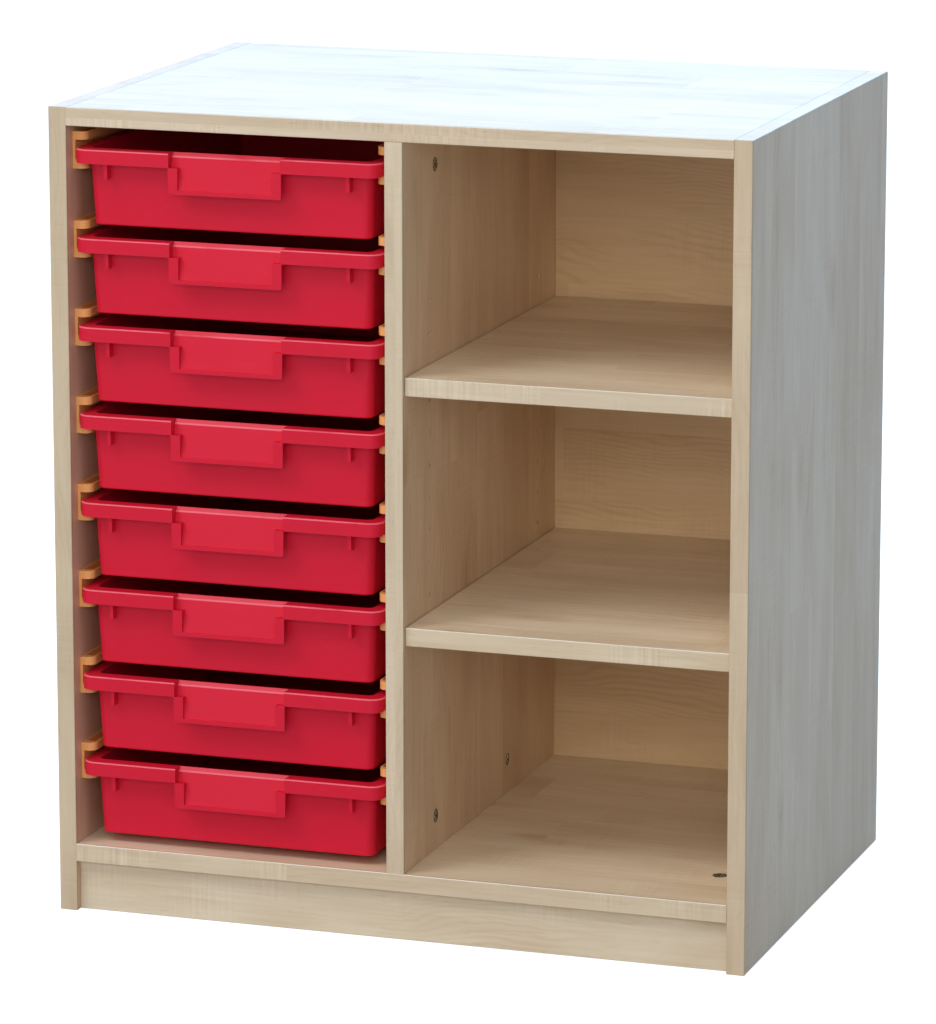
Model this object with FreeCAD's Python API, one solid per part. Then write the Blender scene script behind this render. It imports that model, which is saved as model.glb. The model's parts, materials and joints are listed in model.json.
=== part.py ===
"""Classroom tray storage unit: a maple-faced carcass with eight trays on runners and two pinned shelves.

Millimetres, +Z up. The origin is on the floor under the middle of the unit, and the open front faces -Y.
Depths are measured backwards from the front edges of the carcass.
"""

import os

import FreeCAD, Part
from FreeCAD import Vector

# ---------------------------------------------------------------- carcass
board = 18.0                    # thickness of every panel and shelf
unit_depth = 498.0
unit_height = 798.0
plinth_height = 50.0            # floor to the underside of the bottom panel
plinth_setback = 9.0
edge_band = 2.0                 # solid strip on each front edge
edge_band_round = 0.9
back_thickness = 8.0
back_rear_inset = 16.0          # rear edges of the sides to the back panel
back_groove_depth = 8.0
back_groove_slack = 0.3

# ---------------------------------------------------------------- trays
tray_width = 312.0              # over the rim
tray_height = 75.0
tray_front_setback = 1.0
tray_rear_gap = 46.0            # rim to back panel, tray pushed home
tray_pitch = 86.5
tray_wall = 2.2
tray_draft = 3.5                # inward slope of each wall over the tray's height
tray_corner_radius = 9.0
tray_foot_radius = 2.0
rim_height = 13.8
rim_wall = 3.2
rim_corner_radius = 14.0
rim_lower_radius = 2.8
rim_top_radius = 1.4
rim_side_width = 11.0           # rim edge to the outside of the body's wall
rim_front_width = 13.0
rib_spacing = 246.5
rib_thickness = 3.6
rib_drop = 15.0                 # rib below the rim

# ---------------------------------------------------------------- label panel on each tray
label_width = 113.6
label_height = 39.0
label_border = 9.0
label_overlap = 0.7             # frame of the label past the gap in the rim, each side
label_sill = 4.0                # border under the label
label_wall = 2.4
label_step = 2.0                # depth of the label bed at its foot
label_top_depth = 10.5          # depth of the label bed at its top edge
label_scoop_drop = 3.8          # rim top to the label bed's top edge
label_scoop_depth = 3.1
label_root_drop = 7.0           # rim top to where the label wall leaves the tub's wall

# ---------------------------------------------------------------- tray runners
runner_web = 2.6
runner_play = 2.9               # web to rim, each side
runner_front_setback = 17.0
runner_rear_gap = 32.0
runner_reach = 14.0
runner_lower_flange = 7.6
runner_upper_flange = 8.0
runner_headroom = 6.6           # rim top to the upper flange
runner_nose_radius = 8.0
runner_inner_radius = 3.0
runner_core_wall = 2.0
first_runner_height = 62.8      # bottom panel to the lowest runner
last_runner_gap = 5.0           # least room over the highest runner
runner_screw_inset = 45.0       # runner's end to its screw

# ---------------------------------------------------------------- shelves and their pins
shelf_count = 2
shelf_setback = 5.0
shelf_rear_gap = 2.0
shelf_side_play = 0.75
pin_diameter = 5.0
pin_length = 8.0
pin_hole_depth = 9.0
pin_row_count = 13
pin_pitch = 32.0
pin_front_setback = 78.0
pin_rear_inset = 57.0           # back panel to the rear column
pin_below_shelf = 5.0
pin_hole_web = 1.5              # least wood between two pin holes
pin_plate = 1.5
pin_plate_reach = 8.0
pin_plate_width = 10.0
pin_plate_height = 8.0

# ---------------------------------------------------------------- fittings
cam_diameter = 15.0
cam_depth = 13.0
cam_to_end = 34.0
cam_slot = 8.4
cam_slot_start = 1.0
cam_cross_length = 8.0
cam_cross_width = 1.4
cam_cross_depth = 2.0
cam_rows = (96.0, 320.0)        # depths of the fittings
bolt_diameter = 5.0
bolt_head_diameter = 7.0
bolt_head_start = 4.0
bolt_head_length = 2.5
bolt_thread_diameter = 6.0
bolt_thread_length = 11.0
bolt_bore_diameter = 8.0
dowel_diameter = 8.0
dowel_in_face = 12.0
dowel_in_end = 18.0
dowel_from_cam = 32.0
plinth_dowel_inset = 13.0       # top and bottom of a plinth board to its dowels
screw_diameter = 3.5
screw_head_diameter = 7.0
screw_head_height = 1.75
runner_screw_length = 14.0
back_screw_length = 30.0
back_screw_count = 3
back_screw_inset = 90.0
fit = 0.05                      # radial clearance of a fitting in its hole
hole_end_slack = 0.5
overshoot = 1.0                 # a cutter's reach past the face it cuts
tolerance = 0.01                # how closely an edge is matched when it is picked for rounding

# ---------------------------------------------------------------- worked out from the above
bay_width = tray_width + 2 * (runner_web + runner_play)
unit_width = 2 * bay_width + 3 * board
half_width = unit_width / 2
inner_half_width = half_width - board
half_board = board / 2
front = -unit_depth / 2
rear = unit_depth / 2
back_front = rear - back_rear_inset - back_thickness
back_rear = rear - back_rear_inset
carcass_front = front + edge_band
top_underside = unit_height - board
bottom_top = plinth_height + board
inner_height = top_underside - bottom_top

tray_front = front + tray_front_setback
tray_rear = back_front - tray_rear_gap
tray_axis = -half_board - bay_width / 2
runner_front = front + runner_front_setback
runner_rear = back_front - runner_rear_gap
runner_channel = rim_height + runner_headroom
runner_height = runner_lower_flange + runner_channel + runner_upper_flange
tray_room = inner_height - first_runner_height - runner_height - last_runner_gap
tray_count = int(tray_room / tray_pitch) + 1

compartment_height = (inner_height - shelf_count * board) / (shelf_count + 1)
pin_columns = (front + pin_front_setback, back_front - pin_rear_inset)
screw_neck = screw_diameter / 2

X_AXIS = Vector(1, 0, 0)
Y_AXIS = Vector(0, 1, 0)
Z_AXIS = Vector(0, 0, 1)


# ---------------------------------------------------------------- shapes used by several parts
def block(x_one, x_two, y_low, y_high, z_low, z_high):
    """A box; its two x limits may come in either order."""
    corner = Vector(min(x_one, x_two), y_low, z_low)
    return Part.makeBox(abs(x_two - x_one), y_high - y_low, z_high - z_low, corner)


def extrude_profile(points, travel):
    """A closed outline of points pushed along the travel vector."""
    outline = Part.makePolygon(points + [points[0]])
    return Part.Face(outline).extrude(travel)


def slab_from_profile(x_low, x_high, outline):
    """A YZ outline, as (y, z) pairs, extruded from x_low to x_high."""
    points = [Vector(x_low, y, z) for y, z in outline]
    return extrude_profile(points, Vector(x_high - x_low, 0, 0))


def rounded_outline(x_low, x_high, y_low, y_high, radius, z):
    """A level rectangle with round corners, as one wire."""
    near = radius * (1 - 0.5 ** 0.5)
    corners = [
        (x_low, y_low, 1, 1),
        (x_high, y_low, -1, 1),
        (x_high, y_high, -1, -1),
        (x_low, y_high, 1, -1),
    ]
    arcs = []
    for index, (x, y, in_x, in_y) in enumerate(corners):
        on_y_side = Vector(x, y + in_y * radius, z)
        middle = Vector(x + in_x * near, y + in_y * near, z)
        on_x_side = Vector(x + in_x * radius, y, z)
        ends = (on_y_side, on_x_side) if index % 2 == 0 else (on_x_side, on_y_side)
        arcs.append(Part.Arc(ends[0], middle, ends[1]).toShape())
    edges = []
    for index, arc in enumerate(arcs):
        following = arcs[(index + 1) % len(arcs)]
        straight = Part.makeLine(arc.valueAt(arc.LastParameter), following.valueAt(following.FirstParameter))
        edges += [arc, straight]
    return Part.Wire(edges)


def rounded_block(x_low, x_high, y_low, y_high, radius, z_low, z_high):
    outline = rounded_outline(x_low, x_high, y_low, y_high, radius, z_low)
    return Part.Face(outline).extrude(Vector(0, 0, z_high - z_low))


def put_at(shape, origin, along, outward):
    """Places a shape made at the origin: its +X goes along, its +Z goes outward."""
    side = outward.cross(along)
    placed = shape.copy()
    placed.Placement = FreeCAD.Placement(origin, FreeCAD.Rotation(along, side, outward, "ZXY"))
    return placed


def edges_through(shape, points):
    """The edges that pass through any of these points."""
    spots = [Part.Vertex(point) for point in points]
    return [
        edge for edge in shape.Edges
        if any(edge.distToShape(spot)[0] < tolerance for spot in spots)
    ]


def level_edges(shape, z):
    """The edges that lie at this height."""
    return [
        edge for edge in shape.Edges
        if abs(edge.BoundBox.ZMin - z) < tolerance and abs(edge.BoundBox.ZMax - z) < tolerance
    ]


def moved(shape, way):
    copy = shape.copy()
    copy.translate(way)
    return copy


# ---------------------------------------------------------------- cam fittings
def cam_places():
    """Where each cam goes: its centre on the board's face, the way to the board's end, the way out."""
    places = []
    for setback in cam_rows:
        y = front + setback
        for side in (-1, 1):
            x = side * (inner_half_width - cam_to_end)
            places.append((Vector(x, y, top_underside), X_AXIS * side, Z_AXIS * -1))
            places.append((Vector(x, y, bottom_top), X_AXIS * side, Z_AXIS))
        places.append((Vector(half_board, y, top_underside - cam_to_end), Z_AXIS, X_AXIS))
        places.append((Vector(half_board, y, bottom_top + cam_to_end), Z_AXIS * -1, X_AXIS))
    return places


def cam_housing():
    """Round housing with a driver cross on its face and a slot for the bolt's head, face up at the origin."""
    housing = Part.makeCylinder(cam_diameter / 2, cam_depth, Vector(0, 0, -cam_depth))
    half_slot = cam_slot / 2
    slot = block(cam_slot_start, cam_diameter, -half_slot, half_slot,
                 -half_board - half_slot, -half_board + half_slot)
    half_long = cam_cross_length / 2
    half_wide = cam_cross_width / 2
    cross_x = block(-half_long, half_long, -half_wide, half_wide, -cam_cross_depth, 0)
    cross_y = block(-half_wide, half_wide, -half_long, half_long, -cam_cross_depth, 0)
    return housing.cut([slot, cross_x, cross_y])


def cam_bolt():
    """Headed bolt that runs from the cam out of the board's end and screws into the next board."""
    axis_start = Vector(bolt_head_start, 0, -half_board)
    head = Part.makeCylinder(bolt_head_diameter / 2, bolt_head_length, axis_start, X_AXIS)
    shank = Part.makeCylinder(bolt_diameter / 2, cam_to_end - bolt_head_start, axis_start, X_AXIS)
    thread_start = Vector(cam_to_end, 0, -half_board)
    thread = Part.makeCylinder(bolt_thread_diameter / 2, bolt_thread_length, thread_start, X_AXIS)
    return head.fuse([shank, thread])


def cam_cutters():
    pocket = Part.makeCylinder(cam_diameter / 2 + fit, cam_depth + hole_end_slack,
                               Vector(0, 0, -cam_depth - hole_end_slack))
    bore = Part.makeCylinder(bolt_bore_diameter / 2, cam_to_end, Vector(0, 0, -half_board), X_AXIS)
    thread_hole = Part.makeCylinder(bolt_thread_diameter / 2 + fit, bolt_thread_length + hole_end_slack,
                                    Vector(cam_to_end, 0, -half_board), X_AXIS)
    cutters = []
    for place in cam_places():
        cutters += [put_at(tool, *place) for tool in (pocket, bore, thread_hole)]
    return cutters


def cam_housings():
    housing = cam_housing()
    return Part.Compound([put_at(housing, *place) for place in cam_places()])


def cam_bolts():
    bolt = cam_bolt()
    return Part.Compound([put_at(bolt, *place) for place in cam_places()])


# ---------------------------------------------------------------- dowels
def dowel_places():
    """Where each dowel crosses a joint: the point on the joint, and the way into the face."""
    places = []
    for setback in cam_rows:
        y = front + setback + dowel_from_cam
        for side in (-1, 1):
            x = side * inner_half_width
            places.append((Vector(x, y, top_underside + half_board), X_AXIS * side))
            places.append((Vector(x, y, bottom_top - half_board), X_AXIS * side))
        places.append((Vector(0, y, top_underside), Z_AXIS))
        places.append((Vector(0, y, bottom_top), Z_AXIS * -1))
    for y in (plinth_front() + half_board, back_rear - half_board):
        for z in (plinth_dowel_inset, plinth_height - plinth_dowel_inset):
            for side in (-1, 1):
                places.append((Vector(side * inner_half_width, y, z), X_AXIS * side))
    return places


def dowels():
    length = dowel_in_face + dowel_in_end
    return Part.Compound([
        Part.makeCylinder(dowel_diameter / 2, length, point - into_face * dowel_in_end, into_face)
        for point, into_face in dowel_places()
    ])


def dowel_cutters():
    length = dowel_in_face + dowel_in_end + 2 * hole_end_slack
    return [
        Part.makeCylinder(dowel_diameter / 2 + fit, length,
                          point - into_face * (dowel_in_end + hole_end_slack), into_face)
        for point, into_face in dowel_places()
    ]


# ---------------------------------------------------------------- screws
def countersunk_screw(length, slack):
    """Screw along -Z with its flat head's top at the origin; with slack, the hole that takes it."""
    head_radius = screw_head_diameter / 2 + slack
    head = Part.makeCone(screw_neck + slack, head_radius, screw_head_height, Vector(0, 0, -screw_head_height))
    reach = length + (hole_end_slack if slack else 0)
    shank = Part.makeCylinder(screw_neck + slack, reach, Vector(0, 0, -reach))
    return head.fuse(shank)


def runner_screw_places():
    """Each screw's head lies flush with the inside of its runner's web."""
    places = []
    for z in runner_bases():
        middle = z + runner_lower_flange + runner_channel / 2
        for side in (-1, 1):
            x = tray_axis + side * (bay_width / 2 - runner_web)
            for y in (runner_front + runner_screw_inset, runner_rear - runner_screw_inset):
                places.append((Vector(x, y, middle), Y_AXIS, X_AXIS * -side))
    return places


def back_screw_places():
    """A column of screws through the back panel into the rear edge of the divider."""
    span = inner_height - 2 * back_screw_inset
    step = span / (back_screw_count - 1)
    low = bottom_top + back_screw_inset
    return [
        (Vector(0, back_rear, low + index * step), X_AXIS, Y_AXIS)
        for index in range(back_screw_count)
    ]


def runner_screws():
    screw = countersunk_screw(runner_screw_length, 0)
    return Part.Compound([put_at(screw, *place) for place in runner_screw_places()])


def back_panel_screws():
    screw = countersunk_screw(back_screw_length, 0)
    return Part.Compound([put_at(screw, *place) for place in back_screw_places()])


def runner_screw_cutters():
    hole = countersunk_screw(runner_screw_length, fit)
    return [put_at(hole, *place) for place in runner_screw_places()]


def back_screw_cutters():
    hole = countersunk_screw(back_screw_length, fit)
    return [put_at(hole, *place) for place in back_screw_places()]


# ---------------------------------------------------------------- shelf heights and pin holes
def shelf_underside(index):
    """Height of a shelf's underside, counted from the bottom; the compartments are equal."""
    return bottom_top + compartment_height + index * (compartment_height + board)


def shelf_pin_heights(index):
    return shelf_underside(index) - pin_below_shelf


def row_hole_heights():
    """The row of pin holes, centred between the panels, without those that a shelf's own pins use up."""
    middle = (bottom_top + top_underside) / 2
    lowest = middle - (pin_row_count - 1) * pin_pitch / 2
    taken = [shelf_pin_heights(index) for index in range(shelf_count)]
    least = pin_diameter + pin_hole_web
    heights = [lowest + step * pin_pitch for step in range(pin_row_count)]
    return [z for z in heights if all(abs(z - used) >= least for used in taken)]


def pin_hole_cutters():
    heights = row_hole_heights() + [shelf_pin_heights(index) for index in range(shelf_count)]
    cutters = []
    for y in pin_columns:
        for z in heights:
            for x, into in ((half_board, X_AXIS * -1), (inner_half_width, X_AXIS)):
                cutters.append(Part.makeCylinder(pin_diameter / 2, pin_hole_depth, Vector(x, y, z), into))
    return cutters


# ---------------------------------------------------------------- carcass panels
def back_groove():
    """The groove that takes the back panel, as one frame-shaped cutter around the inside."""
    reach = back_groove_depth
    return block(-inner_half_width - reach, inner_half_width + reach,
                 back_front, back_rear + back_groove_slack,
                 bottom_top - reach, top_underside + reach)


def side_panel(side, cutters):
    panel = block(side * inner_half_width, side * half_width, carcass_front, rear, 0, unit_height)
    return panel.cut([back_groove()] + cutters)


def cross_panel(z_low, cutters):
    """The top or bottom panel, between the sides."""
    panel = block(-inner_half_width, inner_half_width, carcass_front, rear, z_low, z_low + board)
    return panel.cut([back_groove()] + cutters)


def centre_divider(cutters):
    panel = block(-half_board, half_board, carcass_front, back_front, bottom_top, top_underside)
    return panel.cut(cutters)


def back_panel(cutters):
    reach = back_groove_depth - back_groove_slack
    panel = block(-inner_half_width - reach, inner_half_width + reach, back_front, back_rear,
                  bottom_top - reach, top_underside + reach)
    return panel.cut(cutters)


def plinth_front():
    return front + plinth_setback


def plinth(y_low, cutters):
    panel = block(-inner_half_width, inner_half_width, y_low, y_low + board, 0, plinth_height)
    return panel.cut(cutters)


def shelf(index):
    z_low = shelf_underside(index)
    return block(half_board + shelf_side_play, inner_half_width - shelf_side_play,
                 front + shelf_setback + edge_band, back_front - shelf_rear_gap, z_low, z_low + board)


def front_strip(x_low, x_high, z_low, z_high, y_low=front):
    """A strip on a front edge, with its two long front corners rounded."""
    strip = block(x_low, x_high, y_low, y_low + edge_band, z_low, z_high)
    middle_x = (x_low + x_high) / 2
    middle_z = (z_low + z_high) / 2
    if x_high - x_low > z_high - z_low:
        spots = [Vector(middle_x, y_low, z_low), Vector(middle_x, y_low, z_high)]
    else:
        spots = [Vector(x_low, y_low, middle_z), Vector(x_high, y_low, middle_z)]
    return strip.makeFillet(edge_band_round, edges_through(strip, spots))


def front_strips():
    return {
        "left_side_edge_band": front_strip(-half_width, -inner_half_width, 0, unit_height),
        "right_side_edge_band": front_strip(inner_half_width, half_width, 0, unit_height),
        "top_edge_band": front_strip(-inner_half_width, inner_half_width, top_underside, unit_height),
        "bottom_edge_band": front_strip(-inner_half_width, inner_half_width, plinth_height, bottom_top),
        "divider_edge_band": front_strip(-half_board, half_board, bottom_top, top_underside),
    }


def shelf_strip(index):
    z_low = shelf_underside(index)
    return front_strip(half_board + shelf_side_play, inner_half_width - shelf_side_play,
                       z_low, z_low + board, front + shelf_setback)


# ---------------------------------------------------------------- shelf support pins
def support_pin():
    """Pin into the wall along -X with a level plate on top, the plate's top at the origin."""
    pin = Part.makeCylinder(pin_diameter / 2 - fit, pin_length, Vector(0, 0, -pin_below_shelf), X_AXIS * -1)
    half_plate = pin_plate_width / 2
    upright = block(0, pin_plate, -half_plate, half_plate, -pin_plate_height, 0)
    level = block(0, pin_plate_reach, -half_plate, half_plate, -pin_plate, 0)
    return pin.fuse([upright, level]).removeSplitter()


def support_pins(index):
    """The four pins under one shelf."""
    z = shelf_underside(index)
    pin = support_pin()
    pins = []
    for y in pin_columns:
        pins.append(put_at(pin, Vector(half_board, y, z), X_AXIS, Z_AXIS))
        pins.append(put_at(pin, Vector(inner_half_width, y, z), X_AXIS * -1, Z_AXIS))
    return Part.Compound(pins)


# ---------------------------------------------------------------- tray runners
def runner_bases():
    """Undersides of the runner pairs, from the top tray down."""
    lowest = bottom_top + first_runner_height
    return [lowest + step * tray_pitch for step in reversed(range(tray_count))]


def runner_bar(wall, inward, base, top):
    """The runner before its channel is cut, with its free front corner rounded in plan."""
    tip = wall + inward * runner_reach
    bar = block(wall, tip, runner_front, runner_rear, base, top)
    nose = Vector(tip, runner_front, (base + top) / 2)
    return bar.makeFillet(runner_nose_radius, edges_through(bar, [nose]))


def runner(side, base):
    """Channel on one wall of the tray bay; side is -1 on the left panel and 1 on the divider."""
    wall = tray_axis + side * bay_width / 2
    inward = -side
    flange_top = base + runner_lower_flange
    ceiling = flange_top + runner_channel
    top = base + runner_height
    bar = runner_bar(wall, inward, base, top)
    web_face = wall + inward * runner_web
    channel = block(web_face, wall + inward * (runner_reach + overshoot),
                    runner_front, runner_rear, flange_top, ceiling)
    inner_corner = Vector(web_face, (runner_front + runner_rear) / 2, flange_top)
    channel = channel.makeFillet(runner_inner_radius, edges_through(channel, [inner_corner]))
    core_in = wall + inward * runner_core_wall
    core_out = wall + inward * (runner_reach - runner_core_wall)
    core_front = runner_front + runner_nose_radius
    core_rear = runner_rear - runner_core_wall
    upper_core = block(core_in, core_out, core_front, core_rear, ceiling + runner_core_wall, top)
    lower_core = block(core_in, core_out, core_front, core_rear, base, flange_top - runner_core_wall)
    return bar.cut([channel, upper_core, lower_core])


# ---------------------------------------------------------------- trays
def wall_lean(drop):
    """How far a wall has come in at this distance below the rim's top."""
    return tray_draft * drop / tray_height


def tub_outline(inset, drop, rim_top):
    half = tray_width / 2 - rim_side_width - inset - wall_lean(drop)
    return rounded_outline(tray_axis - half, tray_axis + half,
                           tray_front + rim_front_width + inset + wall_lean(drop),
                           tray_rear - rim_side_width - inset - wall_lean(drop),
                           tray_corner_radius - inset, rim_top - drop)


def tub(inset, depth, rim_top):
    """The tapering tub under the rim; an inset of the wall's thickness gives its inside."""
    return Part.makeLoft([tub_outline(inset, 0, rim_top), tub_outline(inset, depth, rim_top)], True, True)


def rim_block(rim_top):
    """The rim before it is hollowed: round corners in plan, and rounded where it slides on the runners."""
    x_low = tray_axis - tray_width / 2
    x_high = tray_axis + tray_width / 2
    bottom = rim_top - rim_height
    plan = rounded_block(x_low, x_high, tray_front, tray_rear, rim_corner_radius, bottom, rim_top)
    bar = block(x_low, x_high, tray_front, tray_rear, bottom, rim_top)
    middle_y = (tray_front + tray_rear) / 2
    lower_sides = edges_through(bar, [Vector(x_low, middle_y, bottom), Vector(x_high, middle_y, bottom)])
    rim = plan.common(bar.makeFillet(rim_lower_radius, lower_sides))
    return rim.makeFillet(rim_top_radius, level_edges(rim, rim_top))


def rim_hollow(rim_top):
    half = tray_width / 2 - rim_wall
    return rounded_block(tray_axis - half, tray_axis + half, tray_front + rim_wall, tray_rear - rim_wall,
                         rim_corner_radius - rim_wall, rim_top - rim_height, rim_top - tray_wall)


def label_bed_depth(drop):
    """Depth of the label bed behind the rim's front; the bed leans back towards its top."""
    bed_height = label_height - label_sill - label_scoop_drop
    above_foot = label_height - label_sill - drop
    return label_step + (label_top_depth - label_step) * above_foot / bed_height


def label_back_depth(drop):
    """The back of the sloping label wall."""
    slope = label_bed_depth(0) - label_bed_depth(1)
    return label_bed_depth(drop) + label_wall * (1 + slope ** 2) ** 0.5


def mid_wall(drop):
    """Depth of the middle of the tub's front wall, where ribs and the label panel root into it."""
    return rim_front_width + tray_wall / 2 + wall_lean(drop)


def front_slab(x_middle, x_width, outline, rim_top):
    """A slab across the tray's front, from (depth behind the rim, drop below its top) pairs."""
    points = [(tray_front + depth, rim_top - drop) for depth, drop in outline]
    return slab_from_profile(x_middle - x_width / 2, x_middle + x_width / 2, points)


def label_notch(rim_top):
    """The part of the rim that the label panel takes the place of."""
    scoop_back = label_top_depth + label_scoop_depth
    outline = [
        (-overshoot, -overshoot),
        (scoop_back, -overshoot),
        (scoop_back, 0),
        (label_top_depth, label_scoop_drop),
        (label_bed_depth(rim_height), rim_height),
        (-overshoot, rim_height),
    ]
    return front_slab(tray_axis, label_width, outline, rim_top)


def label_panel(rim_top):
    """Sloping label bed in a frame, with the finger gap left free behind it."""
    bed_foot = label_height - label_sill
    scoop_back = label_top_depth + label_scoop_depth
    root = [
        (label_back_depth(label_root_drop), label_root_drop),
        (mid_wall(0), label_root_drop),
        (mid_wall(0), 0),
        (scoop_back, 0),
        (label_top_depth, label_scoop_drop),
    ]
    bed = root + [
        (label_step, bed_foot),
        (0, bed_foot),
        (0, label_height),
        (label_wall, label_height),
        (label_back_depth(bed_foot), bed_foot),
    ]
    ledge = rim_height + label_wall
    border = root + [
        (label_bed_depth(rim_height), rim_height),
        (0, rim_height),
        (0, label_height),
        (label_wall, label_height),
        (label_wall, ledge),
        (label_back_depth(ledge), ledge),
    ]
    cheek = [
        (0, rim_height),
        (label_back_depth(ledge), ledge),
        (label_back_depth(bed_foot), bed_foot),
        (label_wall, label_height),
        (0, label_height),
    ]
    bed_width = label_width - 2 * label_border
    pieces = [front_slab(tray_axis, bed_width, bed, rim_top)]
    for side in (-1, 1):
        border_middle = tray_axis + side * (label_width + label_overlap - label_border) / 2
        cheek_middle = tray_axis + side * (bed_width + tray_wall) / 2
        pieces.append(front_slab(border_middle, label_border + label_overlap, border, rim_top))
        pieces.append(front_slab(cheek_middle, tray_wall, cheek, rim_top))
    return pieces


def rim_ends(rim_top):
    """Walls that close the rim on both sides of the label panel."""
    outline = [(0, 0), (mid_wall(0), 0), (mid_wall(0), rim_height), (0, rim_height)]
    middle = (label_width + tray_wall) / 2
    whole_rim = rim_block(rim_top)
    return [
        front_slab(tray_axis + side * middle, tray_wall, outline, rim_top).common(whole_rim)
        for side in (-1, 1)
    ]


def tray_ribs(rim_top):
    """Two thin ribs between the rim and the front wall."""
    foot = rim_height + rib_drop
    outline = [
        (rim_wall, tray_wall / 2),
        (rim_wall + wall_lean(foot), foot),
        (mid_wall(foot), foot),
        (mid_wall(0), tray_wall / 2),
    ]
    return [
        front_slab(tray_axis + side * rib_spacing / 2, rib_thickness, outline, rim_top)
        for side in (-1, 1)
    ]


def tray(rim_top):
    outside = tub(0, tray_height, rim_top)
    outside = outside.makeFillet(tray_foot_radius, level_edges(outside, rim_top - tray_height))
    inside = tub(tray_wall, tray_height - tray_wall, rim_top)
    shell = rim_block(rim_top).cut(rim_hollow(rim_top)).fuse([outside] + tray_ribs(rim_top)).cut(inside)
    shell = shell.cut(label_notch(rim_top))
    return shell.fuse(label_panel(rim_top) + rim_ends(rim_top)).removeSplitter()


# ---------------------------------------------------------------- the unit
def build_parts():
    cutters = cam_cutters() + dowel_cutters() + runner_screw_cutters()
    cutters += back_screw_cutters() + pin_hole_cutters()
    parts = {
        "left_side_panel": side_panel(-1, cutters),
        "right_side_panel": side_panel(1, cutters),
        "top_panel": cross_panel(top_underside, cutters),
        "bottom_panel": cross_panel(plinth_height, cutters),
        "centre_divider": centre_divider(cutters),
        "back_panel": back_panel(cutters),
        "plinth_board": plinth(plinth_front(), cutters),
        "rear_plinth_rail": plinth(back_rear - board, cutters),
        "cam_housings": cam_housings(),
        "cam_bolts": cam_bolts(),
        "dowels": dowels(),
        "runner_screws": runner_screws(),
        "back_panel_screws": back_panel_screws(),
    }
    parts.update(front_strips())
    for index, name in enumerate(shelf_names()):
        parts[name] = shelf(index)
        parts[name + "_edge_band"] = shelf_strip(index)
        parts[name + "_pins"] = support_pins(index)
    screw_holes = runner_screw_cutters()
    first_rim_top = runner_bases()[0] + runner_lower_flange + rim_height
    first_tray = tray(first_rim_top)
    first_runners = {
        "left": runner(-1, runner_bases()[0]),
        "right": runner(1, runner_bases()[0]),
    }
    for number, base in enumerate(runner_bases(), start=1):
        down = Vector(0, 0, base - runner_bases()[0])
        parts["tray_%d" % number] = moved(first_tray, down)
        for hand, first in first_runners.items():
            parts["runner_%s_%d" % (hand, number)] = moved(first, down).cut(screw_holes)
    return parts


def shelf_names():
    if shelf_count == 2:
        return ["lower_shelf", "upper_shelf"]
    return ["shelf_%d" % number for number in range(1, shelf_count + 1)]


os.makedirs("parts", exist_ok=True)
for node, shape in build_parts().items():
    shape.exportStep(os.path.join("parts", node + ".step"))
    box = shape.BoundBox
    print("%-26s %3d solids  %8.2f %8.2f %8.2f  valid %s" % (
        node, len(shape.Solids), box.XLength, box.YLength, box.ZLength, shape.isValid()))
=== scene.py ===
import json
import math

import bmesh
import bpy
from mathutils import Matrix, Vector


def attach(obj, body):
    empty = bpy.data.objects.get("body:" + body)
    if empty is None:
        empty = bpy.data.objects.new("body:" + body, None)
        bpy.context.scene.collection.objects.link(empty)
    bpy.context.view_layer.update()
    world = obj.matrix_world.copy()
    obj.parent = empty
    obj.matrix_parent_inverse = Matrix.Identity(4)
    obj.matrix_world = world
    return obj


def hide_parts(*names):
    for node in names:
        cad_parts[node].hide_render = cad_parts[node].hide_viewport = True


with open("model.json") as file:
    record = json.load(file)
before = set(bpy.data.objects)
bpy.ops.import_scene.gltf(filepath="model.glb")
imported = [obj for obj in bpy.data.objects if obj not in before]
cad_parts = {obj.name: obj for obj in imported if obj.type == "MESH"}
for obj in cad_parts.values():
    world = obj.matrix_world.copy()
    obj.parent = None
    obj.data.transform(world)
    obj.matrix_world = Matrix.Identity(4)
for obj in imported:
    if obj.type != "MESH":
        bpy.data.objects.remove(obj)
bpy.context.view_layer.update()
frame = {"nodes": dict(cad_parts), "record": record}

scene = bpy.context.scene
bodies_of = {node: body for body, nodes in frame["record"]["behaviour"]["bodies"].items() for node in nodes}


# ---------------------------------------------------------------- side panels and divider
# Three upright boards of 18 mm chipboard faced with maple foil, the grain running from floor to top.
# The foil is printed as narrow staves glued edge to edge. The boards are drilled for the cams and dowels
# that join them, and in columns for the shelf pins.

def place(tree, kind, feeds=(), **traits):
    """Adds a node to a tree. A feed is a socket's name or number with the link or value it takes."""
    node = tree.nodes.new(kind)
    for trait, value in traits.items():
        setattr(node, trait, value)
    for socket, feed in feeds:
        if isinstance(feed, bpy.types.NodeSocket):
            tree.links.new(feed, node.inputs[socket])
        else:
            node.inputs[socket].default_value = feed
    return node


def compute(tree, kind, *terms):
    """The output of one Math node of that kind."""
    return place(tree, "ShaderNodeMath", enumerate(terms), operation=kind).outputs[0]


def scaled(tree, point, scale):
    """A point with each of its three parts multiplied."""
    return place(tree, "ShaderNodeVectorMath", [(0, point), (1, scale)], operation="MULTIPLY").outputs[0]


def noise(tree, point, scale, detail, warp=0.0):
    """Cloudy noise from 0 to 1. The scale is how many blotches fit in a metre, each way."""
    feeds = [("Vector", scaled(tree, point, scale)), ("Scale", 1.0), ("Detail", detail), ("Distortion", warp)]
    return place(tree, "ShaderNodeTexNoise", feeds).outputs["Fac"]


def ramp(tree, value, low, high):
    """0 below low, 1 above high, smooth between them."""
    feeds = [("Value", value), ("From Min", low), ("From Max", high)]
    return place(tree, "ShaderNodeMapRange", feeds, interpolation_type="SMOOTHSTEP").outputs[0]


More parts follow.
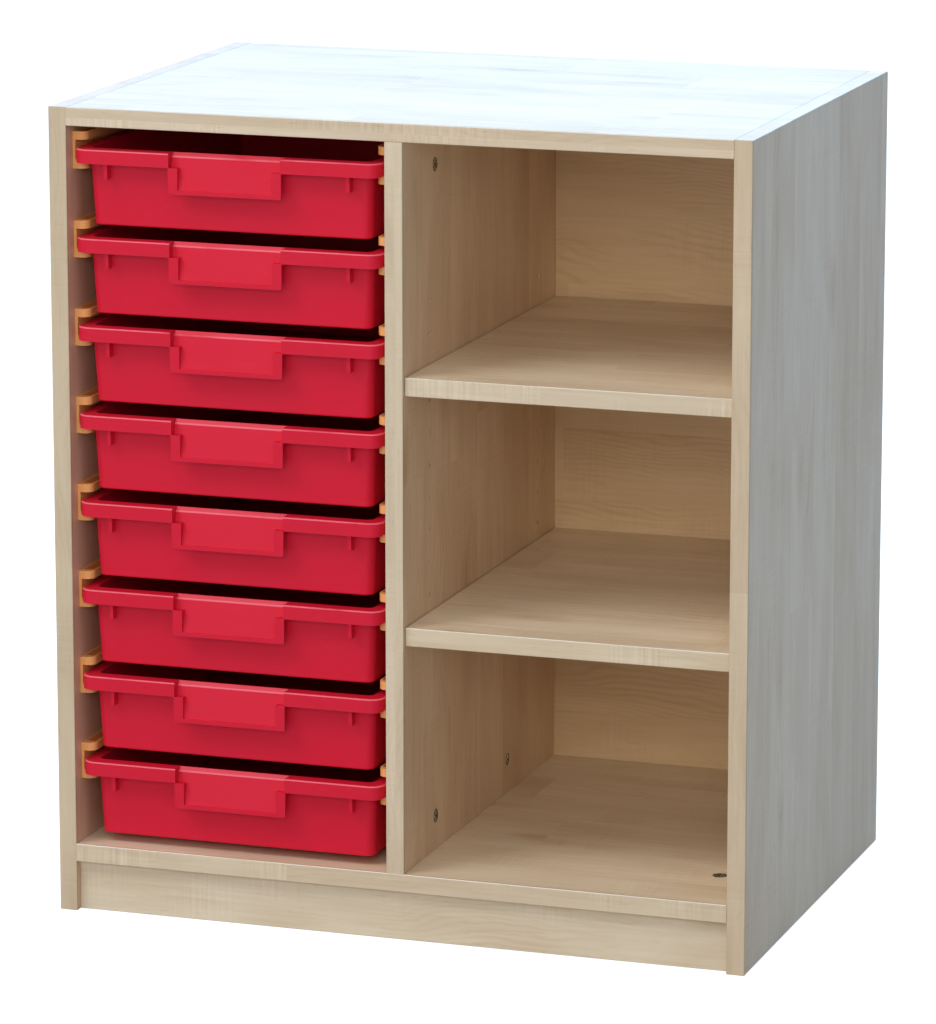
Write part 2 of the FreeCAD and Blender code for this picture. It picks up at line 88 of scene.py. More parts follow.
def blend(tree, share, first, second, **traits):
    """The first colour where share is 0, the second where it is 1, and a mixture between."""
    # the node's colours go in at its sockets 6 and 7, and come out at 2
    return place(tree, "ShaderNodeMix", [(0, share), (6, first), (7, second)], data_type="RGBA",
                 **traits).outputs[2]


def new_group(name, inputs):
    """A node group that gives a surface its colour, roughness and height: its tree and what comes in."""
    tree = bpy.data.node_groups.new(name, "ShaderNodeTree")
    for label, kind, value in inputs:
        socket = tree.interface.new_socket(name=label, in_out="INPUT", socket_type="NodeSocket" + kind)
        socket.default_value = value
    for label, kind in (("Colour", "Color"), ("Roughness", "Float"), ("Height", "Float")):
        tree.interface.new_socket(name=label, in_out="OUTPUT", socket_type="NodeSocket" + kind)
    return tree, tree.nodes.new("NodeGroupInput").outputs


def hand_out(tree, colour, roughness, height):
    """Sends a surface's three results out of its group."""
    place(tree, "NodeGroupOutput", [("Colour", colour), ("Roughness", roughness), ("Height", height)])


BOARD_SHIFT = 0.173             # the rows of staves start elsewhere on each board
STAVE_SLIDE = 3.1               # and the staves start elsewhere along each row
PATTERN_JUMP = (9.0, 9.0, 9.0)  # how far apart in the pattern two staves can lie
RING_PITCH = 0.0062             # one growth line to the next
RING_DRIFT = 0.11               # how far the growth lines wander
EYE_CELLS = (6.5, 17, 17)       # places in a metre where a small eye may sit
MIDDLE_TONE = 0.40              # of plain foil, from 0 for pale to 1 for deep
GLUE_TONE = 1.1                 # how much deeper the glue line is
FOIL_SATIN = 0.34


def make_maple_figure():
    """Maple foil: staves of slightly different tone, cloudy bands, growth lines, flecks, small eyes, and
    painted highlight and shade lines on marked arrises.
    """
    tree, entry = new_group("maple_figure", [
        ("Along", "Float", 0.0), ("Across", "Float", 0.0), ("Through", "Float", 0.0), ("Board", "Float", 0.0),
        ("Stave Width", "Float", 0.08), ("Stave Length", "Float", 0.6), ("Figure", "Float", 0.1),
        ("Lines", "Float", 0.2), ("Contrast", "Float", 1.0), ("Arris", "Float", 0.0), ("Glue", "Float", 0.0),
        ("Pale", "Color", (0.8, 0.65, 0.45, 1)), ("Deep", "Color", (0.6, 0.42, 0.25, 1)),
        ("Wear And Painted Edge", "Color", (0.9, 0.8, 0.7, 1)),
    ])

    # which stave a point lies in, and a point of its own pattern for each stave
    board = entry["Board"]
    shifted = compute(tree, "MULTIPLY_ADD", board, BOARD_SHIFT, entry["Across"])
    row = compute(tree, "FLOOR", compute(tree, "DIVIDE", shifted, entry["Stave Width"]))
    row_key = place(tree, "ShaderNodeCombineXYZ", [(0, row), (1, board)]).outputs[0]
    slide = place(tree, "ShaderNodeTexWhiteNoise", [("Vector", row_key)]).outputs["Value"]
    slid = compute(tree, "MULTIPLY_ADD", slide, STAVE_SLIDE, entry["Along"])
    run = compute(tree, "FLOOR", compute(tree, "DIVIDE", slid, entry["Stave Length"]))
    stave_key = place(tree, "ShaderNodeCombineXYZ", [(0, row), (1, run), (2, board)]).outputs[0]
    stave = place(tree, "ShaderNodeTexWhiteNoise", [("Vector", stave_key)]).outputs
    here = place(tree, "ShaderNodeCombineXYZ", [(0, entry["Along"]), (1, entry["Across"]),
                                                (2, entry["Through"])]).outputs[0]
    point = place(tree, "ShaderNodeVectorMath", [(0, stave["Color"]), (1, PATTERN_JUMP), (2, here)],
                  operation="MULTIPLY_ADD").outputs[0]

    # bands and streaks drawn out along the grain
    clouds = noise(tree, point, (5.0, 15, 15), detail=3.0, warp=0.8)
    streaks = noise(tree, point, (2.6, 42, 42), detail=3.0, warp=0.4)
    fine_streaks = noise(tree, point, (11, 300, 300), detail=3.0)
    flecks = ramp(tree, noise(tree, point, (60, 560, 560), detail=1.0), 0.66, 0.78)

    # growth lines, which show in patches
    drift = noise(tree, point, (3.4, 9, 9), detail=3.0)
    across = place(tree, "ShaderNodeSeparateXYZ", [(0, point)]).outputs[1]
    wandering = compute(tree, "MULTIPLY_ADD", drift, RING_DRIFT, across)
    wave = compute(tree, "SINE", compute(tree, "MULTIPLY", wandering, 2 * math.pi / RING_PITCH))
    rings = compute(tree, "POWER", compute(tree, "MULTIPLY_ADD", wave, 0.5, 0.5), 2.5)
    ring_patches = ramp(tree, noise(tree, point, (3.1, 9, 9), detail=1.0), 0.48, 0.68)

    # cross figure, which shows in patches too
    stripes = noise(tree, point, (430, 14, 14), detail=1.0)
    figure_patches = ramp(tree, noise(tree, point, (9.0, 11, 11), detail=1.0), 0.46, 0.64)
    cross = compute(tree, "MULTIPLY", compute(tree, "SUBTRACT", stripes, 0.5), figure_patches)

    # small eyes in a few of the cells, and the soft shade round them
    cell = scaled(tree, point, EYE_CELLS)
    eye = place(tree, "ShaderNodeTexVoronoi", [("Vector", cell), ("Scale", 1.0)]).outputs
    chosen = place(tree, "ShaderNodeSeparateColor", [(0, eye["Color"])]).outputs[0]
    eyes = compute(tree, "MULTIPLY", ramp(tree, chosen, 0.80, 0.82), ramp(tree, eye["Distance"], 0.05, 0.02))
    halos = compute(tree, "MULTIPLY", ramp(tree, chosen, 0.66, 0.82), ramp(tree, eye["Distance"], 0.36, 0.0))

    tone = 0.0
    for feature, middle, share in ((clouds, 0.5, 0.85), (streaks, 0.5, 0.50), (fine_streaks, 0.5, 0.45),
                                   (stave["Value"], 0.5, 0.29), (flecks, 0.0, 0.22),
                                   (eyes, 0.0, 0.55), (halos, 0.0, 0.34)):
        tone = compute(tree, "MULTIPLY_ADD", compute(tree, "SUBTRACT", feature, middle), share, tone)
    tone = compute(tree, "MULTIPLY_ADD", compute(tree, "MULTIPLY", rings, ring_patches), entry["Lines"], tone)
    tone = compute(tree, "MULTIPLY_ADD", cross, entry["Figure"], tone)
    tone = compute(tree, "MULTIPLY_ADD", tone, entry["Contrast"], MIDDLE_TONE)
    tone = compute(tree, "MULTIPLY_ADD", entry["Glue"], GLUE_TONE, tone)
    foil = blend(tree, tone, entry["Pale"], entry["Deep"], clamp_factor=False)
    # marked arrises take the last colour: a painted highlight where it is pale, a painted shade line where it
    # is dark
    painted_arris = compute(tree, "MULTIPLY", entry["Arris"], ramp(tree, clouds, 0.25, 0.55))
    colour = blend(tree, painted_arris, foil, entry["Wear And Painted Edge"])
    satin = compute(tree, "MULTIPLY_ADD", fine_streaks, 0.12, FOIL_SATIN)
    roughness = compute(tree, "MULTIPLY_ADD", painted_arris, -0.1, satin)
    hand_out(tree, colour, roughness, compute(tree, "MULTIPLY_ADD", flecks, -0.6, fine_streaks))
    return tree


maple_figure = make_maple_figure()
MAPLE_PALE = (0.83, 0.635, 0.41)
MAPLE_DEEP = (0.62, 0.415, 0.22)
# the painted highlight along a rounded upper arris
MAPLE_ARRIS_HIGHLIGHT = (0.86, 0.74, 0.60)
# a painted shade line along a faced board's upper arris, where the seam's groove is, together with the dark
# core at the foil's edge
FOIL_EDGE = (0.30, 0.27, 0.27)  # the dark line along a faced board's arris
BAND_FACE = -0.247              # y of the boards' front edges, where the bands are glued on
GLUE_LINE = 0.0004
X, Y, Z = 0, 1, 2


def tinted(colour, tint):
    return [part * share for part, share in zip(colour, tint)] + [1]


def surfaced(name, group, values, strength, depth):
    """A new material whose colour, roughness and bump come from one surface group. It gives the
    material, its shader, the group's inputs and the place of the point on the object."""
    material = bpy.data.materials.new(name)
    material.use_nodes = True
    tree = material.node_tree
    shader = tree.nodes["Principled BSDF"]
    point = tree.nodes.new("ShaderNodeTexCoord").outputs["Object"]
    surface = place(tree, "ShaderNodeGroup", values.items(), node_tree=group)
    arris = place(tree, "ShaderNodeAttribute", attribute_name="arris", attribute_type="GEOMETRY")
    tree.links.new(arris.outputs["Fac"], surface.inputs["Arris"])
    relief = place(tree, "ShaderNodeBump", [("Height", surface.outputs["Height"]), ("Strength", strength),
                                            ("Distance", depth)])
    tree.links.new(surface.outputs["Colour"], shader.inputs["Base Color"])
    tree.links.new(surface.outputs["Roughness"], shader.inputs["Roughness"])
    tree.links.new(relief.outputs[0], shader.inputs["Normal"])
    return material, shader, surface.inputs, point


def maple(name, along, across, board, tint=(1, 1, 1), stave_width=0.082, stave_length=0.62, figure=0.35,
          lines=0.25, contrast=1.0, pale=MAPLE_PALE, deep=MAPLE_DEEP, wear_and_painted_edge=MAPLE_ARRIS_HIGHLIGHT):
    """Satin maple foil with its grain along one axis. The board's number picks its own staves out of
    the pattern, the tint shifts its tone to paint in how that board is lit, and the last colour is painted on
    marked upper arrises: a painted highlight where pale, a painted shade line where dark."""
    values = {"Board": board, "Stave Width": stave_width, "Stave Length": stave_length, "Figure": figure,
              "Lines": lines, "Contrast": contrast, "Pale": tinted(pale, tint), "Deep": tinted(deep, tint),
              "Wear And Painted Edge": [*wear_and_painted_edge, 1]}
    material, _, foil, point = surfaced(name, maple_figure, values, strength=0.25, depth=0.0002)
    tree = material.node_tree
    where = place(tree, "ShaderNodeSeparateXYZ", [(0, point)]).outputs
    through = X + Y + Z - along - across        # the axis that is left
    for socket, axis in (("Along", along), ("Across", across), ("Through", through)):
        tree.links.new(where[axis], foil[socket])
    tree.links.new(compute(tree, "COMPARE", where[Y], BAND_FACE, GLUE_LINE), foil["Glue"])
    return material


ROUNDING_WIDTH = 0.001
LEAST_TURN, MOST_TURN = 0.06, 0.9       # radians from one strip of a rounding to the next
ARRIS_TURN = 0.6
SMOOTH_TURN = math.radians(50)
WELD = 2e-6
FLAT = 0.01                     # radians; faces nearer than this to one plane are one face
NEAR = 1e-4
FACES_UP = 0.2
MARKED_ARRIS_LENGTH = 4                 # times the shortest edge that is rounded


def turn_of(edge):
    """How far the surface turns outwards over an edge, in radians; 0 where two faces don't meet."""
    return edge.calc_face_angle_signed() if edge.is_manifold else 0.0


def is_rounding(face, shortest):
    """True for a narrow face on an outward turn, one strip of a rounded arris."""
    longest = max(edge.calc_length() for edge in face.edges)
    if longest < shortest:
        return False
    area = face.calc_area() * (2 if len(face.verts) == 3 else 1)        # a triangle is half a strip
    narrow = area / longest < ROUNDING_WIDTH
    return narrow and any(LEAST_TURN < turn_of(edge) < MOST_TURN for edge in face.edges)


def round_over(form, edges, radius, segments=2):
    bmesh.ops.bevel(form, geom=edges, offset=radius, segments=segments, profile=0.5, affect="EDGES",
                    clamp_overlap=True)
    form.normal_update()


def eased(node, radius, keep_plane=None, shortest=0.002, shape_first=None):
    """A finished piece over a solid: the same form with its outer arrises rounded over, all but those
    shorter than shortest. keep_plane is the y of a face that stays sharp because a band is glued to it.
    shape_first works on the form before that. Rounded arrises that face up are marked for a painted colour, a
    painted highlight line that is a painted shade line on the faced boards."""
    piece = bpy.data.objects.new(node + "_finish", frame["nodes"][node].data.copy())
    scene.collection.objects.link(piece)
    mesh = piece.data
    mesh.attributes.remove(mesh.attributes["custom_normal"])
    form = bmesh.new()
    form.from_mesh(mesh)
    bmesh.ops.remove_doubles(form, verts=form.verts, dist=WELD)
    bmesh.ops.dissolve_limit(form, angle_limit=FLAT, verts=form.verts, edges=form.edges)
    if shape_first:
        shape_first(form)
    arrises = [edge for edge in form.edges if turn_of(edge) > ARRIS_TURN and edge.calc_length() > shortest]
    if keep_plane is not None:
        arrises = [edge for edge in arrises
                   if any(abs(vert.co.y - keep_plane) > NEAR for vert in edge.verts)]
    if radius:
        round_over(form, arrises, radius)
    # mark the upward rounded arrises for a painted highlight line, a painted shade line on the faced boards
    mark = form.faces.layers.float.get("arris") or form.faces.layers.float.new("arris")
    for face in form.faces:
        if face.normal.z > FACES_UP and is_rounding(face, MARKED_ARRIS_LENGTH * shortest):
            face[mark] = 1.0
    form.to_mesh(mesh)
    form.free()
    mesh.shade_smooth()
    mesh.set_sharp_from_angle(angle=SMOOTH_TURN)
    level = piece.modifiers.new("flat faces", "WEIGHTED_NORMAL")
    level.keep_sharp = True
    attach(piece, bodies_of[node])
    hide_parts(node)
    return piece


def dress(piece, material):
    piece.data.materials.clear()
    piece.data.materials.append(material)


BOARD_EASE = 0.0006
# each tint paints in how that board is lit: the left side's inner face darker and pinker, the right side
# brighter and cooler
uprights = {                    # with the tint and the contrast of each
    "left_side_panel": ((0.95, 0.87, 0.88), 1.2),
    "right_side_panel": ((1.04, 1.08, 1.19), 1.2),
    "centre_divider": ((1.04, 1.02, 1.02), 1.25),
}
for board, (name, (tint, contrast)) in enumerate(uprights.items(), start=1):
    foil = maple(name + "_maple", along=Z, across=Y, board=board, tint=tint, stave_length=1.3,
                 contrast=contrast, wear_and_painted_edge=FOIL_EDGE)
    dress(eased(name, BOARD_EASE, keep_plane=BAND_FACE), foil)


# ---------------------------------------------------------------- top and bottom panels
# The same board with the grain running across the unit. The top lies between the sides, level with
# their ends; the bottom is held 50 mm off the floor by the plinth.

# these tints paint in the stronger, cooler light and sheen on the level boards, brighter and bluer than on
# the uprights
LEVEL_TINT = (1.14, 1.22, 1.33)
level_boards = {"top_panel": ((1.08, 1.15, 1.25), 1.8), "bottom_panel": (LEVEL_TINT, 1.3)}
for board, (name, (tint, contrast)) in enumerate(level_boards.items(), start=11):
    foil = maple(name + "_maple", along=X, across=Y, board=board, tint=tint, contrast=contrast,
                 wear_and_painted_edge=FOIL_EDGE)
    dress(eased(name, BOARD_EASE, keep_plane=BAND_FACE), foil)


# ---------------------------------------------------------------- back panel
# An 8 mm board faced with the same foil, the grain running across. It sits in a groove that runs round
# the inside of the carcass, and three screws from behind hold it to the divider.

back_maple = maple("back_maple", along=X, across=Z, board=21, tint=(1.01, 0.94, 0.82), stave_width=0.075,
                   lines=0.28)
dress(eased("back_panel", BOARD_EASE), back_maple)


# ---------------------------------------------------------------- plinth
# A front board set back under the bottom panel and a rail near the rear, both cut from the same
# faced board and dowelled between the sides. They carry the bottom panel.

# the tint paints in the cooler light on the plinth's faces
for board, name in enumerate(("plinth_board", "rear_plinth_rail"), start=31):
    foil = maple(name + "_maple", along=X, across=Z, board=board, tint=(0.93, 0.98, 1.04),
                 stave_width=0.14, stave_length=3.0, lines=0.12, contrast=1.5)
    dress(eased(name, BOARD_EASE), foil)


# ---------------------------------------------------------------- edge bands
# Strips of maple 2 mm thick glued on the front edges and rounded over. Their grain follows the board,
# with the fine cross figure that sawn maple shows on a narrow face.

EDGES_KEPT = 0                  # the edges stay as they are on the solid
BAND_PALE = (0.745, 0.58, 0.392)
BAND_DEEP = (0.552, 0.398, 0.232)
# each band's tint paints in the light on its edge: the bottom and lower shelf bands brighter, the left side's
# darker
bands = {                       # with the grain's axis, the axis across it, and the tint of each
    "left_side_edge_band": (Z, X, (0.94, 0.93, 0.88)), "right_side_edge_band": (Z, X, (1.00, 0.99, 0.96)),
    "divider_edge_band": (Z, X, (1.01, 1.01, 1.00)), "top_edge_band": (X, Z, (1.02, 1.01, 1.00)),
    "bottom_edge_band": (X, Z, (1.10, 1.13, 1.14)), "lower_shelf_edge_band": (X, Z, (1.11, 1.13, 1.13)),
    "upper_shelf_edge_band": (X, Z, (1.01, 1.01, 1.00)),
}
for board, (name, (along, across, tint)) in enumerate(bands.items(), start=41):
    strip = maple(name + "_maple", along, across, board, tint, stave_width=0.06, stave_length=1.4,
                  figure=0.9 if along == X else 0.3, lines=0.12, contrast=1.4, pale=BAND_PALE,
                  deep=BAND_DEEP)
    dress(eased(name, EDGES_KEPT), strip)


# ---------------------------------------------------------------- shelves
# Two loose boards of the same faced chipboard between the divider and the right side. Each rests on
# four pins, and can be moved to another row of holes.

SHELF_BAND_FACE = -0.242        # y, since the shelves lie 5 mm back from the boards round them
# the shelves' tint paints in the same brighter, cooler light as on the bottom panel
for board, name in enumerate(("lower_shelf", "upper_shelf"), start=51):
    foil = maple(name + "_maple", along=X, across=Y, board=board, tint=LEVEL_TINT, contrast=1.3)
    dress(eased(name, BOARD_EASE, keep_plane=SHELF_BAND_FACE), foil)


# ---------------------------------------------------------------- metal fittings
# Cam housings are die-cast and nickel plated, and lock the boards on bolts. Bolts and screws are zinc
# plated steel. Shelf pins are nickel plated steel, a rod with a plate pressed on.

def make_plated_surface():
    """Plating: cloudy tone, fine scratches, and a painted glint, a bright colour on marked arrises."""
    tree, entry = new_group("plated_surface", [
        ("Point", "Vector", (0, 0, 0)), ("Arris", "Float", 0.0), ("Bright", "Color", (0.7, 0.7, 0.7, 1)),
        ("Dull", "Color", (0.5, 0.5, 0.5, 1)), ("Painted Highlight", "Color", (1, 1, 1, 1)), ("Polish", "Float", 0.25),
    ])
    clouds = noise(tree, entry["Point"], (180, 180, 180), detail=3.0)
    scratches = noise(tree, entry["Point"], (300, 4000, 4000), detail=2.0)
    skin = blend(tree, clouds, entry["Bright"], entry["Dull"])
    # a painted glint on the marked arrises
    colour = blend(tree, entry["Arris"], skin, entry["Painted Highlight"])
    hand_out(tree, colour, compute(tree, "MULTIPLY_ADD", clouds, 0.3, entry["Polish"]), scratches)
    return tree


plated_surface = make_plated_surface()


def plated(name, bright, dull, polish):
    values = {"Bright": bright, "Dull": dull, "Polish": polish}
    material, shader, plate, point = surfaced(name, plated_surface, values, strength=0.2, depth=0.00005)
    material.node_tree.links.new(point, plate["Point"])
    shader.inputs["Metallic"].default_value = 1.0
    return material


nickel = plated("nickel", bright=(0.72, 0.68, 0.62, 1), dull=(0.48, 0.45, 0.40, 1), polish=0.22)
cast_nickel = plated("cast_nickel", bright=(0.26, 0.22, 0.15, 1), dull=(0.06, 0.05, 0.03, 1), polish=0.2)
zinc = plated("zinc", bright=(0.62, 0.60, 0.56, 1), dull=(0.42, 0.40, 0.37, 1), polish=0.28)
CAM_FACES = ((X, 0.009), (Z, 0.068))    # in the divider's right face, and in the bottom panel's top
CAM_RIM = 0.0009
CAM_DISH = 0.0005
SQUARE_ON = 0.99                # how nearly a cam's face looks straight out of its board


def dish_cams(form):
    """Sinks each cam's driver face a little, and marks the rim left round it and along the cross for a
    painted glint.
    """
    mark = form.faces.layers.float.new("arris")
    faces = [face for face in form.faces
             if any(face.normal[axis] > SQUARE_ON and abs(face.calc_center_median()[axis] - level) < NEAR
                    for axis, level in CAM_FACES)]
    rims = bmesh.ops.inset_region(form, faces=faces, thickness=CAM_RIM, depth=-CAM_DISH,
                                  use_even_offset=True)["faces"]
    for face in rims:
        face[mark] = 1.0


# the cams' marked rims take the plating's white painted glint
dress(eased("cam_housings", EDGES_KEPT, shape_first=dish_cams), cast_nickel)
for name in ("lower_shelf_pins", "upper_shelf_pins"):
    dress(frame["nodes"][name], nickel)
for name in ("cam_bolts", "runner_screws", "back_panel_screws"):
    dress(frame["nodes"][name], zinc)


# ---------------------------------------------------------------- dowels
# Beech pegs glued into the ends of the boards beside each cam. They line the boards up, and are
# hidden once the unit is together.

beech = maple("beech", along=X, across=Y, board=71, stave_width=0.5, pale=(0.72, 0.5, 0.31),
              deep=(0.5, 0.31, 0.17))
dress(frame["nodes"]["dowels"], beech)


# ---------------------------------------------------------------- tray runners
# Sixteen channels moulded in amber plastic, one screwed on each side of every tray. The free front
# corner of each is rounded, and the flanges are cored from above and below.

def make_moulded_surface():
    """Moulded plastic: cloudy tone from the flow of the melt, spark texture of the tool, rubbed patches,
    painted highlights on marked arrises.
    """
    tree, entry = new_group("moulded_surface", [
        ("Point", "Vector", (0, 0, 0)), ("Arris", "Float", 0.0), ("Main", "Color", (0.5, 0.5, 0.5, 1)),
        ("Wear And Painted Edge", "Color", (0.6, 0.6, 0.6, 1)), ("Painted Highlight", "Color", (0.7, 0.7, 0.7, 1)),
        ("Satin", "Float", 0.35),
    ])
    clouds = noise(tree, entry["Point"], (14, 14, 22), detail=3.0, warp=0.6)
    rubs = ramp(tree, noise(tree, entry["Point"], (35, 60, 160), detail=4.0, warp=0.3), 0.55, 0.8)
    spark = noise(tree, entry["Point"], (1500, 1500, 1500), detail=1.0)
    share = compute(tree, "MULTIPLY_ADD", rubs, 0.35, compute(tree, "MULTIPLY", clouds, 0.5))
    skin = blend(tree, share, entry["Main"], entry["Wear And Painted Edge"])
    # marked arrises take a pale painted highlight
    painted_arris = compute(tree, "MULTIPLY", entry["Arris"], ramp(tree, clouds, 0.2, 0.5))
    colour = blend(tree, painted_arris, skin, entry["Painted Highlight"])
    satin = compute(tree, "MULTIPLY_ADD", clouds, 0.08, entry["Satin"])
    hand_out(tree, colour, compute(tree, "MULTIPLY_ADD", rubs, 0.08, satin), spark)
    return tree


moulded_surface = make_moulded_surface()


def moulded(name, main, wear_and_painted_edge, painted_arris, satin, gloss):
    values = {"Main": main, "Wear And Painted Edge": wear_and_painted_edge, "Painted Highlight": painted_arris, "Satin": satin}
    material, shader, skin, point = surfaced(name, moulded_surface, values, strength=0.15, depth=0.0001)
    material.node_tree.links.new(point, skin["Point"])
    shader.inputs["Specular IOR Level"].default_value = gloss
    return material


TRAY_NUMBERS = range(1, 9)
RUNNER_EASE = 0.0005
# the runners' last pale colour is the painted highlight on their upper arrises
amber = moulded("amber_plastic", main=(0.89, 0.385, 0.112, 1), wear_and_painted_edge=(0.95, 0.47, 0.16, 1),
                painted_arris=(0.98, 0.58, 0.28, 1), satin=0.34, gloss=0.3)
for number in TRAY_NUMBERS:
    for hand in ("left", "right"):
        runner = eased("runner_%s_%d" % (hand, number), RUNNER_EASE)
        dress(runner, amber)


# ---------------------------------------------------------------- trays
# Eight red trays, each moulded in one piece: a tapered tub, a hollow rim that slides in the runners,
# two thin ribs under the rim, and a sloping bed for a label in the middle of the front. The upper
# edges and the slope over the label are painted paler, a painted highlight.

TRAY_EASE = 0.0005
SHORTEST_TRAY_ARRIS = 0.0002
LABEL_HEIGHT = 0.039
LABEL_LENGTH = 0.1              # less than the bed's own, to tell its long edges from the rest
FOLD_TURN = (0.35, 0.6)         # radians the front turns where the bed meets the slope over it
FOLD_DEPTH = 0.006              # the fold lies nearer than this to the tray's top
FOLD_ROUND = 0.0009
CORNER_TURN = 1.2
CORNER_REACH = 0.001            # those edges start nearer than this to the tray's front
CORNER_ROUND = 0.0025
SCOOP_DEPTH = 0.005             # the slope over the label lies nearer than this to the tray's top
SCOOP_TILT = (0.5, 0.75)        # how far up the slope faces, from 0 for upright to 1 for level
FACES_FRONT = -0.5              # y of a normal that looks to the front
# how pale the slope over the label is painted, a painted highlight band
SCOOP_HIGHLIGHT = 0.25
# the trays' pale pink colour is the painted highlight on their upper edges and on the slope over the label
red = moulded("red_plastic", main=(0.69, 0.009, 0.030, 1), wear_and_painted_edge=(0.75, 0.016, 0.042, 1),
              painted_arris=(0.88, 0.14, 0.17, 1), satin=0.38, gloss=0.20)


def is_fold(edge, top):
    """True for the long edge where the label bed meets the slope over it."""
    return (FOLD_TURN[0] < turn_of(edge) < FOLD_TURN[1] and edge.calc_length() > LABEL_LENGTH
            and all(top - FOLD_DEPTH < vert.co.z < top for vert in edge.verts))


def is_frame_corner(edge, foot, front):
    """True for an edge that runs back from a lower corner of the label's frame."""
    one, other = (vert.co for vert in edge.verts)
    return (turn_of(edge) > CORNER_TURN and abs(one.z - foot) < NEAR and abs(other.z - foot) < NEAR
            and abs(one.x - other.x) < NEAR and min(one.y, other.y) < front + CORNER_REACH)


def soften_label(form):
    """Rounds the fold over the label bed and the lower corners of its frame."""
    top = max(vert.co.z for vert in form.verts)
    round_over(form, [edge for edge in form.edges if is_fold(edge, top)], FOLD_ROUND, segments=3)
    front = min(vert.co.y for vert in form.verts)
    corners = [edge for edge in form.edges if is_frame_corner(edge, top - LABEL_HEIGHT, front)]
    round_over(form, corners, CORNER_ROUND, segments=4)


def paint_scoop_highlight(mesh):
    """The slope over the label is painted a little paler, a painted highlight band."""
    reach = max(vert.co.z for vert in mesh.vertices) - SCOOP_DEPTH
    marks = mesh.attributes["arris"].data
    for face in mesh.polygons:
        slopes = SCOOP_TILT[0] < face.normal.z < SCOOP_TILT[1] and face.normal.y < FACES_FRONT
        if slopes and face.center.z > reach:
            marks[face.index].value = max(marks[face.index].value, SCOOP_HIGHLIGHT)


for number in TRAY_NUMBERS:
    tray = eased("tray_%d" % number, TRAY_EASE, shortest=SHORTEST_TRAY_ARRIS, shape_first=soften_label)
    paint_scoop_highlight(tray.data)
    dress(tray, red)


# ---------------------------------------------------------------- floor
# A pale seamless studio floor just under the unit, which isn't part of it. It is overexposed to
# white for the camera, and throws back only the light of a mid grey on the unit.

FLOOR_REACH = 40.0
FLOOR_LEVEL = -0.0005
FLOOR_PALE = (0.86, 0.86, 0.86, 1)
FLOOR_PALER = (0.90, 0.90, 0.90, 1)
FLOOR_GREY = (0.50, 0.52, 0.54, 1)
FLOOR_GLOW = 0.7                # what brings it up to white for the camera
floor_mesh = bpy.data.meshes.new("floor")
corners = [(x * FLOOR_REACH, y * FLOOR_REACH, FLOOR_LEVEL)
           for x, y in ((-1, -1), (1, -1), (1, 1), (-1, 1))]
floor_mesh.from_pydata(corners, [], [(0, 1, 2, 3)])
floor = bpy.data.objects.new("floor", floor_mesh)
scene.collection.objects.link(floor)
paint = bpy.data.materials.new("studio_floor")
paint.use_nodes = True
tree = paint.node_tree
point = tree.nodes.new("ShaderNodeTexCoord").outputs["Object"]
mottle = noise(tree, point, (1.3, 1.3, 1.3), detail=3.0)
seen = tree.nodes.new("ShaderNodeLightPath").outputs["Is Camera Ray"]
shade = blend(tree, seen, FLOOR_GREY, blend(tree, mottle, FLOOR_PALE, FLOOR_PALER))
glow = compute(tree, "MULTIPLY", seen, FLOOR_GLOW)
shader = tree.nodes["Principled BSDF"]
tree.links.new(shade, shader.inputs["Base Color"])
shader.inputs["Roughness"].default_value = 0.9
shader.inputs["Specular IOR Level"].default_value = 0.0
shader.inputs["Emission Color"].default_value = (1, 1, 1, 1)
tree.links.new(glow, shader.inputs["Emission Strength"])
floor_mesh.materials.append(paint)


# ---------------------------------------------------------------- studio light
# A soft key from the upper left, a panel to the right of the front, one overhead and a low wide fill, in
# a dim cool room that grows brighter behind the unit, so that the top shines and the sides stay grey.

def softbox(name, at, aim, width, height, power, colour):
    light = bpy.data.lights.new(name, "AREA")
    light.shape = "RECTANGLE"
    light.size, light.size_y = width, height
    light.energy = power
    light.color = colour
    lamp = bpy.data.objects.new(name, light)
    lamp.location = at
    lamp.rotation_euler = (Vector(aim) - Vector(at)).to_track_quat("-Z", "Y").to_euler()
    scene.collection.objects.link(lamp)


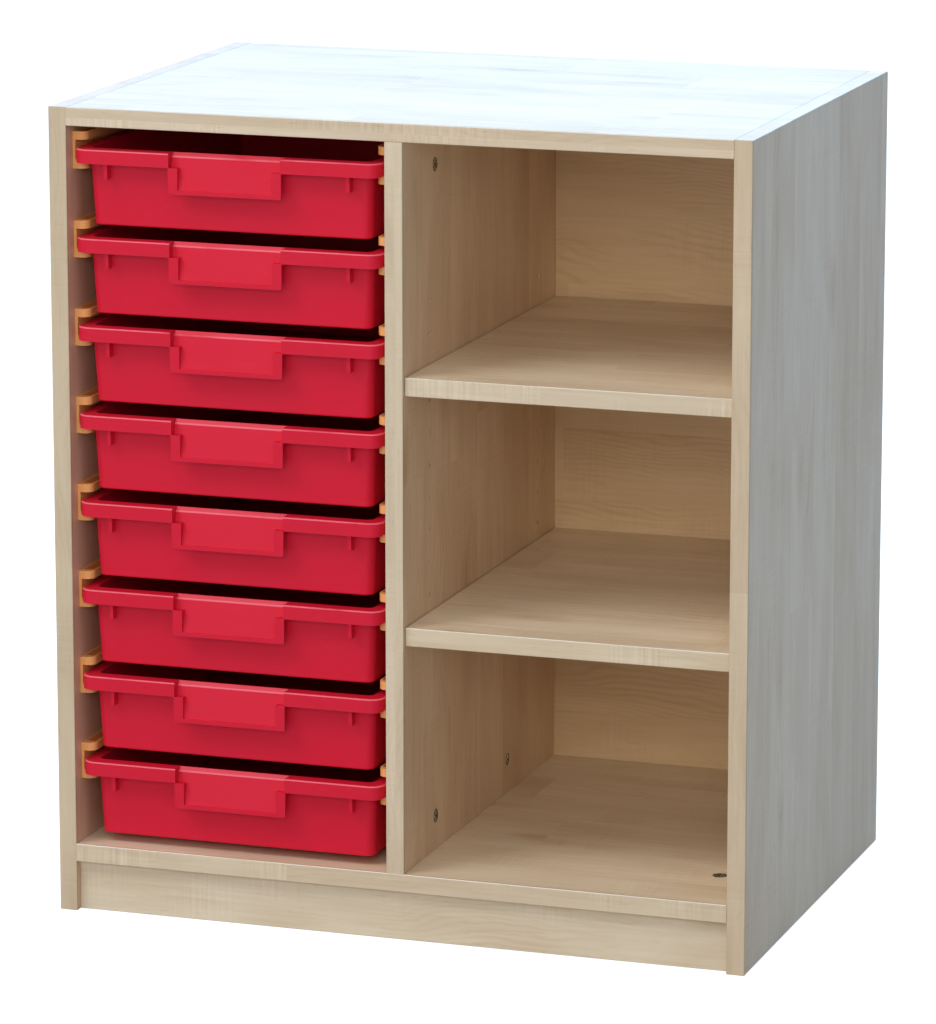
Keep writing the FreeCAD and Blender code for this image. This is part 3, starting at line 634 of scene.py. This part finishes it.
WHITE = (1.0, 1.0, 1.0)
COOL = (0.95, 1.0, 1.0)
WARM = (1.0, 0.98, 0.85)
softbox("key", at=(-3.2, -3.4, 5.0), aim=(0, 0, 0.4), width=2.6, height=2.6, power=120, colour=WHITE)
softbox("front", at=(1.2, -6.4, 2.7), aim=(0, 0, 0.4), width=3.0, height=1.4, power=80, colour=COOL)
softbox("overhead", at=(0, -2.4, 4.9), aim=(0, 0, 0.6), width=3.2, height=2.0, power=30, colour=COOL)
softbox("low fill", at=(-0.4, -7.0, 0.9), aim=(0, 0, 0.5), width=6.0, height=2.2, power=50, colour=WARM)

ROOM_BESIDE = (0.08, 0.13, 0.25, 1)
ROOM_BEFORE = (0.48, 0.53, 0.67, 1)
ROOM_BEHIND = (2.1, 2.9, 3.75, 1)
world = bpy.data.worlds.new("studio")
scene.world = world
world.use_nodes = True
tree = world.node_tree
toward = tree.nodes.new("ShaderNodeTexCoord").outputs["Generated"]
way = place(tree, "ShaderNodeSeparateXYZ", [(0, toward)]).outputs
before = ramp(tree, way[Y], 0.15, -0.6)
behind = ramp(tree, way[Y], 0.45, 0.92)
room = blend(tree, behind, blend(tree, before, ROOM_BESIDE, ROOM_BEFORE), ROOM_BEHIND)
tree.links.new(room, tree.nodes["Background"].inputs["Color"])
tree.nodes["Background"].inputs["Strength"].default_value = 1.0


# ---------------------------------------------------------------- camera
# At standing eye height, five metres back and well to the right, with a long lens. It looks a little
# to the left and down, and stands level.

CAMERA_AT = (1.69195, -5.0389, 1.54032)
LOOK_LEFT = 0.325698            # radians
LOOK_DOWN = 0.204784
LENS = 192.32                   # millimetres
SENSOR_WIDTH = 36.0
SHIFT_DOWN = 0.0606             # of the sensor's width, to centre the unit in the frame
camera_data = bpy.data.cameras.new("camera")
camera_data.lens = LENS
camera_data.sensor_width = SENSOR_WIDTH
camera_data.shift_y = -SHIFT_DOWN
camera = bpy.data.objects.new("camera", camera_data)
camera.location = CAMERA_AT
camera.rotation_euler = (math.pi / 2 - LOOK_DOWN, 0, LOOK_LEFT)
scene.collection.objects.link(camera)
scene.camera = camera
scene.view_settings.view_transform = "Standard"
